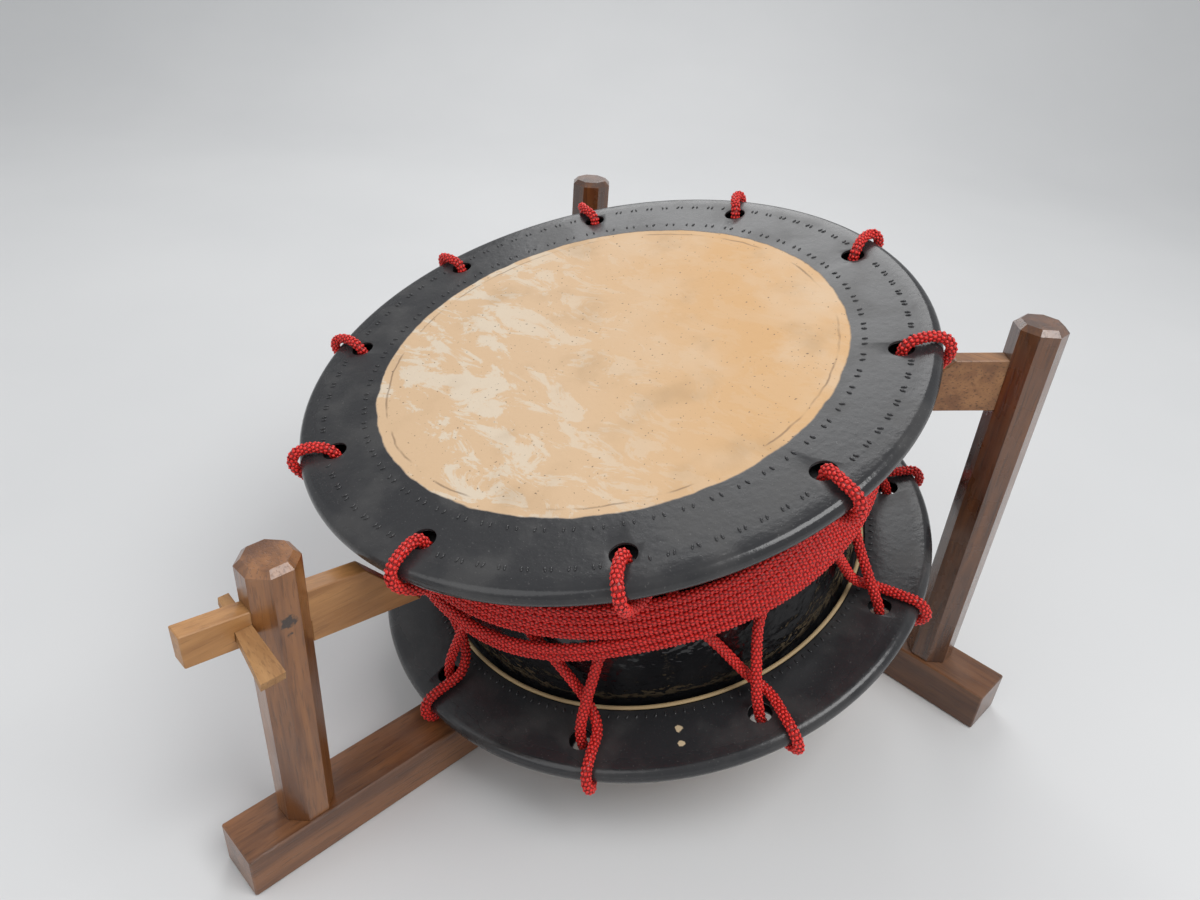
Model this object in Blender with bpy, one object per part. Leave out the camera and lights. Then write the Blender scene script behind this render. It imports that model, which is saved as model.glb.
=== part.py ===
"""Shime daiko: a rope-laced drum with two hide heads, sitting tilted in a wooden stand.

Metres, +Z up. +X is the stand's right side and +Y points from the stem's free end to the
cross beam. The origin is the middle of the bounding box, on the floor.
"""

import math

import bmesh
import bpy
from mathutils import Matrix, Vector

GAP = 0.0003

# Base: a stem and a cross beam
BEAM_WIDTH = 0.0302
BEAM_THICK = 0.0276
STEM_END_Y = -0.2284
CROSS_Y = STEM_END_Y + 0.4025
CROSS_HALF = 0.2111
BASE_TENON = (0.012, 0.020, 0.014)

# Posts: octagons with a chamfered top and a square tenon in the beam
POST_FLATS = 0.0265
POST_CHAMFER = 0.0030
POST_TENON = 0.0130
POST_TENON_DEPTH = 0.0180
FRONT_POST = (0.0, STEM_END_Y + 0.0397, 0.1927)
RIGHT_POST = (0.1655, CROSS_Y, 0.2646)
LEFT_POST = (-0.1780, CROSS_Y, 0.2542)

# Front arm: a bevelled bar whose tenon passes through the post and is held by a wedge
ARM_HEIGHT = 0.0310
FRONT_ARM_THICK = 0.0100
FRONT_ARM_SLOPE = -0.129
FRONT_ARM_TOP = 0.1688
FRONT_ARM_CORNER = 0.0438
FRONT_ARM_TIP = 0.0743
FRONT_TENON_HEIGHT = 0.0181
FRONT_TENON_END = -0.0442

# Wedge through the tenon, thin end to -X, sloping down to +X
WEDGE_LENGTH = 0.0500
WEDGE_THIN = 0.0050
WEDGE_WIDE = 0.0115
WEDGE_THICK = 0.0050
WEDGE_FAR_X = -0.0165
WEDGE_SLOPE = math.radians(-13.0)

# Rear arms: blind tenons, tips that reach the winding on the drum's waist
REAR_ARM_THICK = 0.0107
REAR_ARM_SLOPE = -0.0776
REAR_ARM_CORNER = 0.0415
REAR_ARM_ROOT = 0.0040
RIGHT_ARM_TOP = 0.2444
LEFT_ARM_TOP = 0.2260
RIGHT_ARM_AZIMUTH = math.radians(-135.0)
LEFT_ARM_AZIMUTH = math.radians(-45.0)

# Drum: its upper face's centre, its axis, and the pieces along the axis
DRUM_TOP = (-0.0027, STEM_END_Y + 0.2458, 0.2290)
DRUM_AXIS = (-0.0771, -0.2787, 0.9573)
DRUM_HEIGHT = 0.1529
HEAD_RADIUS = 0.1750
ROLL_RADIUS = 0.0050
SKIN = 0.0013
RING_ROD = 0.0033
FLAP_END = 0.1365
HOLE_RADIUS = 0.0065
HOLE_CIRCLE = 0.1550
HOLE_COUNT = 10
UPPER_HOLE_AZIMUTH = 30.2
LOWER_HOLE_AZIMUTH = 12.2
BODY_END_RADIUS = 0.1305
BODY_MID_RADIUS = 0.1328
BODY_WALL = 0.0120
SEGMENTS = 76
RING_SEGMENTS = 48

# Ropes
LACE_RADIUS = 0.0029
LACE_WAIST_RADIUS = 0.1368
LOOP_SKEW = (1.7, 3.0, 2.2, 2.4, 0.6, -1.9, -2.2, 0.1, -1.1, -1.2)
WAIST_ROPE_RADIUS = 0.00265
WAIST_RADIUS = 0.1440
WAIST_TOP = -0.0475
WAIST_PITCH = 0.0059
WAIST_TURNS = 6
WAIST_TURN_POINTS = 24
WAIST_START_AZIMUTH = 90.0
SAG_FROM_TURN = 4
SAG_DROP = 0.0110
SAG_AZIMUTH = -75.0
SAG_HALF_WIDTH = 38.0


def clear_scene():
    for item in list(bpy.data.objects):
        bpy.data.objects.remove(item, do_unlink=True)


def material(name, colour, roughness, metallic=0.0):
    """A Principled material of one colour."""
    made = bpy.data.materials.new(name)
    made.use_nodes = True
    shader = made.node_tree.nodes["Principled BSDF"]
    shader.inputs["Base Color"].default_value = (*colour, 1.0)
    shader.inputs["Roughness"].default_value = roughness
    shader.inputs["Metallic"].default_value = metallic
    made.diffuse_color = (*colour, 1.0)
    return made


def add_object(name, mesh, finish=None, parent=None):
    made = bpy.data.objects.new(name, mesh)
    bpy.context.collection.objects.link(made)
    if finish:
        mesh.materials.append(finish)
    if parent:
        made.parent = parent
    return made


def mesh_from(name, shape):
    """Turns a bmesh into a mesh whose faces point outwards."""
    bmesh.ops.recalc_face_normals(shape, faces=shape.faces[:])
    mesh = bpy.data.meshes.new(name)
    shape.to_mesh(mesh)
    shape.free()
    return mesh


def box_mesh(name, low, high):
    shape = bmesh.new()
    bmesh.ops.create_cube(shape, size=1.0)
    middle = (Vector(low) + Vector(high)) / 2
    size = Vector(high) - Vector(low)
    for vert in shape.verts:
        vert.co = Vector(a * b for a, b in zip(vert.co, size)) + middle
    return mesh_from(name, shape)


def prism_mesh(name, outline, thick, place):
    """Extrudes an outline of (along, up) points to both sides of its plane.

    place turns (along, aside, up) into the part's frame.
    """
    shape = bmesh.new()
    near = [shape.verts.new(place @ Vector((s, -thick / 2, z))) for s, z in outline]
    far = [shape.verts.new(place @ Vector((s, thick / 2, z))) for s, z in outline]
    shape.faces.new(near)
    shape.faces.new(list(reversed(far)))
    count = len(outline)
    for i in range(count):
        j = (i + 1) % count
        shape.faces.new((near[i], near[j], far[j], far[i]))
    return mesh_from(name, shape)


def cut(target, cutter, operation="DIFFERENCE"):
    """Applies one Boolean live and hides its cutter."""
    cutter.hide_render = True
    cutter.display_type = "WIRE"
    modifier = target.modifiers.new("cut_" + cutter.name, "BOOLEAN")
    modifier.operation = operation
    modifier.solver = "EXACT"
    modifier.object = cutter


def soften(target, width, segments=1):
    modifier = target.modifiers.new("soft_edges", "BEVEL")
    modifier.width = width
    modifier.segments = segments
    modifier.limit_method = "ANGLE"
    modifier.angle_limit = math.radians(40)


def revolve_mesh(name, profile, segments, closed=True):
    """Spins a profile of (radius, height) points round Z; a radius of zero is a pole."""
    shape = bmesh.new()
    rows = []
    for radius, height in profile:
        if radius == 0.0:
            rows.append([shape.verts.new((0.0, 0.0, height))])
            continue
        row = []
        for i in range(segments):
            turn = 2 * math.pi * i / segments
            row.append(shape.verts.new((radius * math.cos(turn), radius * math.sin(turn), height)))
        rows.append(row)
    pairs = list(zip(rows, rows[1:]))
    if closed:
        pairs.append((rows[-1], rows[0]))
    for first, second in pairs:
        if len(first) == 1 and len(second) == 1:
            continue
        for i in range(segments):
            j = (i + 1) % segments
            if len(first) == 1:
                shape.faces.new((first[0], second[i], second[j]))
            elif len(second) == 1:
                shape.faces.new((first[i], second[0], first[j]))
            else:
                shape.faces.new((first[i], second[i], second[j], first[j]))
    mesh = mesh_from(name, shape)
    mesh.shade_smooth()
    mesh.set_sharp_from_angle(angle=math.radians(35))
    return mesh


def octagon_post(name, spot, finish):
    """A post with its chamfered top and, below, its tenon."""
    x, y, height = spot
    foot = BEAM_THICK + GAP
    to_corner = 1 / math.cos(math.pi / 8)
    shape = bmesh.new()
    rows = []
    levels = (
        (POST_FLATS / 2, foot),
        (POST_FLATS / 2, height - POST_CHAMFER),
        (POST_FLATS / 2 - POST_CHAMFER, height),
    )
    for flat, level in levels:
        row = []
        for i in range(8):
            turn = math.pi / 8 + i * math.pi / 4
            reach = flat * to_corner
            row.append(
                shape.verts.new((x + reach * math.cos(turn), y + reach * math.sin(turn), level))
            )
        rows.append(row)
    for first, second in zip(rows, rows[1:]):
        for i in range(8):
            j = (i + 1) % 8
            shape.faces.new((first[i], first[j], second[j], second[i]))
    shape.faces.new(list(reversed(rows[0])))
    shape.faces.new(rows[-1])
    post = add_object(name, mesh_from(name, shape), finish)
    half = POST_TENON / 2
    low = (x - half, y - half, foot - POST_TENON_DEPTH)
    high = (x + half, y + half, foot + half)
    tenon = add_object(name + "_tenon", box_mesh(name + "_tenon", low, high))
    cut(post, tenon, "UNION")
    return post


def cut_post_mortise(beam, spot):
    x, y, _ = spot
    half = POST_TENON / 2 + GAP
    low = (x - half, y - half, BEAM_THICK - POST_TENON_DEPTH)
    high = (x + half, y + half, BEAM_THICK + 0.01)
    name = beam.name + "_mortise_%d" % round(1000 * x)
    cut(beam, add_object(name, box_mesh(name, low, high)))


def build_base(finish):
    """The stem, tenoned into the cross beam, and the cross beam."""
    half = BEAM_WIDTH / 2
    joint_y = CROSS_Y - half
    stem = add_object(
        "base_stem",
        box_mesh("base_stem", (-half, STEM_END_Y, 0), (half, joint_y - GAP, BEAM_THICK)),
        finish,
    )
    soften(stem, 0.0008)
    wide, long, high = BASE_TENON
    middle = BEAM_THICK / 2
    tenon = box_mesh(
        "stem_tenon",
        (-wide / 2, joint_y - 0.01, middle - high / 2),
        (wide / 2, joint_y + long, middle + high / 2),
    )
    cut(stem, add_object("stem_tenon", tenon), "UNION")
    cut_post_mortise(stem, FRONT_POST)
    cross = add_object(
        "base_cross",
        box_mesh(
            "base_cross",
            (-CROSS_HALF, CROSS_Y - half, 0),
            (CROSS_HALF, CROSS_Y + half, BEAM_THICK),
        ),
        finish,
    )
    soften(cross, 0.0008)
    mortise = box_mesh(
        "cross_mortise",
        (-wide / 2 - GAP, joint_y - 0.01, middle - high / 2 - GAP),
        (wide / 2 + GAP, joint_y + long + GAP, middle + high / 2 + GAP),
    )
    cut(cross, add_object("cross_mortise", mortise))
    cut_post_mortise(cross, RIGHT_POST)
    cut_post_mortise(cross, LEFT_POST)


def arm_place(spot, azimuth):
    """Turns (along the arm, aside, up) into the part's frame, from the post's axis."""
    return Matrix.Translation((spot[0], spot[1], 0)) @ Matrix.Rotation(azimuth, 4, "Z")


def front_arm_top(along):
    return FRONT_ARM_TOP + FRONT_ARM_SLOPE * along


def build_front_arm(post, arm_finish, wedge_finish):
    """The front arm, its mortise in the post, and the wedge in the arm's tenon."""
    place = arm_place(FRONT_POST, math.radians(90.0))
    half = POST_FLATS / 2
    shoulder = half + GAP
    outline = [
        (FRONT_TENON_END, front_arm_top(FRONT_TENON_END) - FRONT_TENON_HEIGHT),
        (shoulder, front_arm_top(shoulder) - FRONT_TENON_HEIGHT),
        (shoulder, front_arm_top(shoulder) - ARM_HEIGHT),
        (FRONT_ARM_TIP, front_arm_top(FRONT_ARM_TIP) - ARM_HEIGHT),
        (FRONT_ARM_CORNER, front_arm_top(FRONT_ARM_CORNER)),
        (FRONT_TENON_END, front_arm_top(FRONT_TENON_END)),
    ]
    arm = add_object(
        "arm_front", prism_mesh("arm_front", outline, FRONT_ARM_THICK, place), arm_finish
    )
    soften(arm, 0.0005)
    reach = half + 0.005
    hole = [
        (-reach, front_arm_top(-reach) - FRONT_TENON_HEIGHT - GAP),
        (reach, front_arm_top(reach) - FRONT_TENON_HEIGHT - GAP),
        (reach, front_arm_top(reach) + GAP),
        (-reach, front_arm_top(-reach) + GAP),
    ]
    cutter = prism_mesh("post_front_mortise", hole, FRONT_ARM_THICK + 2 * GAP, place)
    cut(post, add_object("post_front_mortise", cutter))

    against = -half - GAP
    level = front_arm_top(against - WEDGE_THIN / 2) - FRONT_TENON_HEIGHT / 2
    tilt = Matrix.Rotation(-WEDGE_SLOPE, 4, "Y")
    seat = Matrix.Translation((0, FRONT_POST[1] + against, level)) @ tilt
    wedge = wedge_mesh("arm_wedge", 0.0)
    wedge.transform(seat)
    add_object("arm_wedge", wedge, wedge_finish)
    slot = wedge_mesh("wedge_slot", GAP)
    slot.transform(seat)
    cut(arm, add_object("wedge_slot", slot))


def wedge_mesh(name, grow):
    """The wedge about the arm's middle, its straight edge at y = 0, larger by grow."""
    near_x = WEDGE_FAR_X + WEDGE_LENGTH
    far = -WEDGE_THIN - grow
    near = -WEDGE_WIDE - grow
    shape = bmesh.new()
    up = WEDGE_THICK / 2 + grow
    rim = [(WEDGE_FAR_X, grow), (WEDGE_FAR_X, far), (near_x, near), (near_x, grow)]
    top = [shape.verts.new((x, y, up)) for x, y in rim]
    bottom = [shape.verts.new((x, y, -up)) for x, y in rim]
    shape.faces.new(top)
    shape.faces.new(list(reversed(bottom)))
    for i in range(4):
        j = (i + 1) % 4
        shape.faces.new((top[i], bottom[i], bottom[j], top[j]))
    return mesh_from(name, shape)


def drum_matrix():
    """The drum's frame: origin in the upper face, z along the axis, x nearest to the part's +X."""
    up = Vector(DRUM_AXIS).normalized()
    right = (Vector((1, 0, 0)) - up * up.x).normalized()
    back = up.cross(right)
    turn = Matrix((right, back, up)).transposed().to_4x4()
    return Matrix.Translation(DRUM_TOP) @ turn


def drum_radius(point):
    local = drum_matrix().inverted() @ Vector(point)
    return math.hypot(local.x, local.y)


def build_rear_arm(name, post, spot, azimuth, top, finish):
    """A rear arm, its blind mortise in the post, and a tip just short of the waist winding."""
    place = arm_place(spot, azimuth)
    touch = WAIST_RADIUS + WAIST_ROPE_RADIUS + GAP
    tip = REAR_ARM_CORNER
    while drum_radius(place @ Vector((tip, 0, top + REAR_ARM_SLOPE * tip - ARM_HEIGHT))) > touch:
        tip += 0.0002

    def surface(along):
        return top + REAR_ARM_SLOPE * along

    outline = [
        (REAR_ARM_ROOT, surface(REAR_ARM_ROOT) - ARM_HEIGHT),
        (tip, surface(tip) - ARM_HEIGHT),
        (REAR_ARM_CORNER, surface(REAR_ARM_CORNER)),
        (REAR_ARM_ROOT, surface(REAR_ARM_ROOT)),
    ]
    arm = add_object(name, prism_mesh(name, outline, REAR_ARM_THICK, place), finish)
    reach = POST_FLATS
    start = REAR_ARM_ROOT - GAP
    hole = [
        (start, surface(start) - ARM_HEIGHT - GAP),
        (reach, surface(reach) - ARM_HEIGHT - GAP),
        (reach, surface(reach) + GAP),
        (start, surface(start) + GAP),
    ]
    cutter = prism_mesh(name + "_mortise", hole, REAR_ARM_THICK + 2 * GAP, place)
    cut(post, add_object(name + "_mortise", cutter))
    soften(arm, 0.0005)


def arc(centre, radius, start, end, steps):
    """Points (radius, height) along an arc, angles in degrees."""
    points = []
    for i in range(steps + 1):
        turn = math.radians(start + (end - start) * i / steps)
        points.append(
            (centre[0] + radius * math.cos(turn), centre[1] + radius * math.sin(turn))
        )
    return points


def head_profile():
    """The hide in section: drumhead, roll round the ring, and the flap sewn back inside."""
    centre = (HEAD_RADIUS - ROLL_RADIUS, -ROLL_RADIUS)
    inner = ROLL_RADIUS - SKIN
    profile = [(0.0, 0.0), (BODY_END_RADIUS, 0.0)]
    profile += arc(centre, ROLL_RADIUS, 90, -90, 6)
    profile += [(FLAP_END, -2 * ROLL_RADIUS), (FLAP_END, -2 * ROLL_RADIUS + SKIN)]
    profile += arc(centre, inner, -90, 90, 5)
    profile += [(BODY_END_RADIUS, -SKIN), (0.0, -SKIN)]
    return profile


def build_head(name, side, first_azimuth, finish, parent):
    """One head with its ten rope holes; side is 1 for the upper and -1 for the lower."""
    shift = 0.0 if side > 0 else -DRUM_HEIGHT
    profile = [(r, side * z + shift) for r, z in head_profile()]
    head = add_object(name, revolve_mesh(name, profile, SEGMENTS, closed=False), finish, parent)
    shape = bmesh.new()
    for i in range(HOLE_COUNT):
        turn = math.radians(first_azimuth + i * 360 / HOLE_COUNT)
        spot = (HOLE_CIRCLE * math.cos(turn), HOLE_CIRCLE * math.sin(turn))
        level = shift - side * ROLL_RADIUS
        place = Matrix.Translation((*spot, level))
        bmesh.ops.create_cone(
            shape,
            cap_ends=True,
            segments=16,
            radius1=HOLE_RADIUS,
            radius2=HOLE_RADIUS,
            depth=4 * ROLL_RADIUS,
            matrix=place,
        )
    holes = add_object(name + "_holes", mesh_from(name + "_holes", shape), None, parent)
    cut(head, holes)
    return head


def build_ring(name, level, finish, parent):
    profile = arc((HEAD_RADIUS - ROLL_RADIUS, level), RING_ROD, 0, 315, 7)
    add_object(name, revolve_mesh(name, profile, RING_SEGMENTS), finish, parent)


def build_body(finish, parent):
    """The barrel: one hollow block, a little fuller at its middle."""
    top = -SKIN - GAP
    bottom = -DRUM_HEIGHT + SKIN + GAP
    profile = []
    steps = 6
    for i in range(steps + 1):
        part = i / steps
        bulge = 1 - (2 * part - 1) ** 2
        radius = BODY_END_RADIUS + (BODY_MID_RADIUS - BODY_END_RADIUS) * bulge
        profile.append((radius, top + (bottom - top) * part))
    inside = BODY_END_RADIUS - BODY_WALL
    profile += [(inside, bottom), (inside - 0.002, (top + bottom) / 2), (inside, top)]
    add_object("drum_body", revolve_mesh("drum_body", profile, SEGMENTS), finish, parent)


def around(azimuth, radius, height):
    turn = math.radians(azimuth)
    return Vector((radius * math.cos(turn), radius * math.sin(turn), height))


def smooth_path(points, steps):
    """A Catmull-Rom curve through the points, with steps samples for each stretch."""
    path = []
    for i in range(len(points) - 1):
        before = points[max(i - 1, 0)]
        here, there = points[i], points[i + 1]
        after = points[min(i + 2, len(points) - 1)]
        for k in range(steps):
            t = k / steps
            path.append(
                0.5
                * (
                    2 * here
                    + (there - before) * t
                    + (2 * before - 5 * here + 4 * there - after) * t * t
                    + (3 * here - before - 3 * there + after) * t**3
                )
            )
    path.append(points[-1])
    return path


def lacing_points():
    """The lacing's route: out of a lower hole, up, over the upper rim, down, over the lower."""
    over = LACE_RADIUS + GAP
    foot = -DRUM_HEIGHT
    rim = HEAD_RADIUS + over
    waist = LACE_WAIST_RADIUS
    points = []
    for i in range(HOLE_COUNT):
        low = LOWER_HOLE_AZIMUTH + 36.0 * (i + 2)
        high = low + 18.0
        skew = LOOP_SKEW[(i + 2) % HOLE_COUNT]
        points += [
            around(low, 0.1550, foot + 0.0030),
            around(low, 0.1540, foot + 0.0110),
            around(low + 0.8, 0.1495, foot + 0.0230),
            around(low + 5.2, waist + 0.0002, foot + 0.0520),
            around(low + 8.6, waist, -0.0800),
            around(low + 10.8, waist, -0.0560),
            around(low + 13.0, waist + 0.0003, -0.0410),
            around(high - 1.6, 0.1500, -0.0190),
            around(high, 0.1545, -0.0060),
            around(high, 0.1570, 0.0018),
            around(high + 0.6 * skew, 0.1640, over + 0.0008),
            around(high + skew, 0.1712, over + 0.0003),
            around(high + skew, 0.1764, 0.0014),
            around(high + skew, rim + 0.0003, -0.0052),
            around(high + skew + 0.3, 0.1735, -0.0145),
            around(high + 1.5 + 0.5 * skew, 0.1590, -0.0270),
            around(high + 4.4, waist + 0.0003, -0.0415),
            around(high + 7.2, waist, -0.0560),
            around(high + 10.0, waist, -0.0800),
            around(high + 14.0, waist, foot + 0.0510),
            around(high + 18.6, 0.1395, foot + 0.0240),
            around(high + 21.4, 0.1500, foot + 0.0146),
            around(high + 21.2, 0.1640, foot + 0.0136),
            around(high + 21.0, 0.1745, foot + 0.0120),
            around(high + 21.0, rim + 0.0003, foot + 0.0046),
            around(high + 21.0, 0.1764, foot - 0.0013),
            around(high + 20.6, 0.1715, foot - over - 0.0004),
            around(high + 19.6, 0.1645, foot - over - 0.0007),
            around(high + 18.6, 0.1588, foot - 0.0034),
        ]
    return points


def waist_points():
    """A winding of six turns; the lowest ones hang down at the front."""
    points = []
    for i in range(WAIST_TURNS * WAIST_TURN_POINTS + 1):
        turns = i / WAIST_TURN_POINTS
        azimuth = WAIST_START_AZIMUTH + 360.0 * turns
        height = WAIST_TOP - WAIST_PITCH * (turns - 0.5)
        if turns > SAG_FROM_TURN:
            off = (azimuth - SAG_AZIMUTH + 180.0) % 360.0 - 180.0
            if abs(off) < SAG_HALF_WIDTH:
                height -= SAG_DROP * 0.5 * (1 + math.cos(math.pi * off / SAG_HALF_WIDTH))
        points.append(around(azimuth, WAIST_RADIUS, height))
    return points


def least_gap(path, radius, skip):
    """The least gap between two stretches of one tube that are skip points apart or more."""
    least = 1.0
    for i, here in enumerate(path):
        for there in path[i + skip :]:
            least = min(least, (here - there).length)
    return least - 2 * radius


def build_rope(name, path, radius, finish, parent):
    curve = bpy.data.curves.new(name, "CURVE")
    curve.dimensions = "3D"
    curve.bevel_depth = radius
    curve.bevel_resolution = 1
    curve.use_fill_caps = True
    curve.materials.append(finish)
    spline = curve.splines.new("POLY")
    spline.points.add(len(path) - 1)
    for slot, point in zip(spline.points, path):
        slot.co = (*point, 1.0)
    rope = bpy.data.objects.new(name, curve)
    bpy.context.collection.objects.link(rope)
    rope.parent = parent


def main():
    clear_scene()
    dark_wood = material("dark_varnished_wood", (0.085, 0.036, 0.016), 0.32)
    base_wood = material("base_wood", (0.135, 0.062, 0.028), 0.42)
    pale_wood = material("pale_arm_wood", (0.33, 0.165, 0.062), 0.50)
    oak_wood = material("oak_arm_wood", (0.20, 0.10, 0.042), 0.50)
    wedge_wood = material("wedge_wood", (0.30, 0.155, 0.06), 0.60)
    lacquer = material("black_lacquer", (0.006, 0.006, 0.007), 0.14)
    hide = material("lacquered_hide", (0.035, 0.036, 0.039), 0.38)
    iron = material("ring_iron", (0.10, 0.09, 0.085), 0.55, 1.0)
    cord = material("red_cord", (0.50, 0.016, 0.012), 0.42)

    build_base(base_wood)
    front = octagon_post("post_front", FRONT_POST, dark_wood)
    right = octagon_post("post_right", RIGHT_POST, dark_wood)
    left = octagon_post("post_left", LEFT_POST, dark_wood)
    build_front_arm(front, pale_wood, wedge_wood)
    build_rear_arm("arm_right", right, RIGHT_POST, RIGHT_ARM_AZIMUTH, RIGHT_ARM_TOP, oak_wood)
    build_rear_arm("arm_left", left, LEFT_POST, LEFT_ARM_AZIMUTH, LEFT_ARM_TOP, oak_wood)

    drum = bpy.data.objects.new("drum", None)
    bpy.context.collection.objects.link(drum)
    drum.matrix_world = drum_matrix()
    build_body(lacquer, drum)
    build_head("head_upper", 1, UPPER_HOLE_AZIMUTH, hide, drum)
    build_head("head_lower", -1, LOWER_HOLE_AZIMUTH, hide, drum)
    build_ring("ring_upper", -ROLL_RADIUS, iron, drum)
    build_ring("ring_lower", -DRUM_HEIGHT + ROLL_RADIUS, iron, drum)
    lacing = smooth_path(lacing_points(), 2)
    build_rope("lacing_rope", lacing, LACE_RADIUS, cord, drum)
    waist = waist_points()
    build_rope("waist_rope", waist, WAIST_ROPE_RADIUS, cord, drum)
    print("waist_rope least gap to itself, mm:", 1000 * least_gap(waist, WAIST_ROPE_RADIUS, 12))
    print("lacing_rope least gap to itself, mm:", 1000 * least_gap(lacing, LACE_RADIUS, 8))


if __name__ == "__main__":
    main()
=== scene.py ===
"""Looks of a rope-laced drum in its stand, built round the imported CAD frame.

Metres, in the frame of the CAD: +X is the stand's right side, +Y runs from the stem's free
end to the cross beam and +Z is up.
"""

import enum
import logging
import math
from dataclasses import dataclass, field

import bmesh
import bpy
from mathutils import Matrix, Vector


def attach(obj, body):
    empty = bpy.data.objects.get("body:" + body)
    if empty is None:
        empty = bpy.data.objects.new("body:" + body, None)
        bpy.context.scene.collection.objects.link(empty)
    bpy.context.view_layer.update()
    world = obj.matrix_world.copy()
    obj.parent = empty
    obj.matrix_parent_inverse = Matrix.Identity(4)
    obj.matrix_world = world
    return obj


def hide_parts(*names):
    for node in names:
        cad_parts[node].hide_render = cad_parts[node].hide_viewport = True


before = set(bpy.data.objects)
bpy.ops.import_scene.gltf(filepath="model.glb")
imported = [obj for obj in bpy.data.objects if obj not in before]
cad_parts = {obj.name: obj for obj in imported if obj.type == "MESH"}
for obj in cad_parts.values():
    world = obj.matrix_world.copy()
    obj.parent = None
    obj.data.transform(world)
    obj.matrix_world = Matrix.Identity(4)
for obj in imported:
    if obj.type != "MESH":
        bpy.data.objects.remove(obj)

logging.basicConfig(level=logging.INFO, format="%(message)s")
LOG = logging.getLogger("scene")

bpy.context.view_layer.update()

# Drum, as the CAD has it
DRUM_TOP = Vector((-0.0027, 0.0174, 0.2290))
DRUM_AXIS = Vector((-0.0771, -0.2787, 0.9573)).normalized()
DRUM_HEIGHT = 0.1529
HEAD_RADIUS = 0.1750
ROLL_RADIUS = 0.0050
SKIN = 0.0013
FLAP_END = 0.1365
HOLE_RADIUS = 0.0065
HOLE_CIRCLE = 0.1550
HOLE_COUNT = 10
UPPER_HOLE_AZIMUTH = 30.2
LOWER_HOLE_AZIMUTH = 12.2
BODY_END_RADIUS = 0.1305
BODY_MID_RADIUS = 0.1328
BODY_WALL = 0.0120
GAP = 0.0003

# Stitches of the heads and the raw hide edge, which only the surface shows
STITCH_ROWS = ((0.1372, 128), (0.1602, 190))
STITCH_STAGGER = 0.9
STITCH_LENGTH = 0.0032
STITCH_WIDTH = 0.0013
STITCH_SUNK = 0.00005
HOLE_CLEARANCE = 3.0
FLAP_STITCH_RADIUS = 0.1400
FLAP_STITCH_COUNT = 170
RAW_EDGE_RADIUS = 0.1343
RAW_EDGE_HALF_WIDTH = 0.0013
RAW_EDGE_HALF_HEIGHT = 0.0008
SCRATCH_CIRCLE = 0.1245

# Ropes, as the CAD has them
LACE_RADIUS = 0.0029
LACE_WAIST_RADIUS = 0.1368
LOOP_SKEW = (1.7, 3.0, 2.2, 2.4, 0.6, -1.9, -2.2, 0.1, -1.1, -1.2)
WAIST_ROPE_RADIUS = 0.00265
WAIST_RADIUS = 0.1440
WAIST_TOP = -0.0475
WAIST_PITCH = 0.0059
WAIST_TURNS = 6
WAIST_TURN_POINTS = 24
WAIST_START_AZIMUTH = 90.0
SAG_FROM_TURN = 4
SAG_DROP = 0.0110
SAG_AZIMUTH = -75.0
SAG_HALF_WIDTH = 38.0
ROUTE_STEPS = 4
BRAID_PITCH = 0.0022
BRAID_FULLNESS = 0.0001
CORE_STEP = 0.0045
CORE_SHARE = 0.80
SEAT_SHARE = 0.76
GRAIN_THICKNESS = 0.30
GRAIN_WIDTH = 0.40
GRAIN_LENGTH = 0.72
GRAIN_LEAN = 0.9

# Camera, solved from the photograph
CAMERA_SPOT = Vector((0.3123, -0.3168, 0.4534))
CAMERA_FORWARD = Vector((-0.5779, 0.6164, -0.5348))
CAMERA_UP = Vector((-0.4212, 0.3361, 0.8424))
CAMERA_FOCAL_PX = 922.44
PHOTO_WIDTH_PX = 1200
SENSOR_MM = 36.0

# Colours of marks on the surfaces
DUST = (0.42, 0.40, 0.37)
STAIN = (0.36, 0.22, 0.10)
SPECK = (0.10, 0.06, 0.035)
SCRATCH = (0.14, 0.08, 0.045)
CHIP = (0.60, 0.47, 0.30)


class Grain(enum.Enum):
    """The axis that a board's grain runs along."""

    X = 0
    Y = 1
    Z = 2


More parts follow.
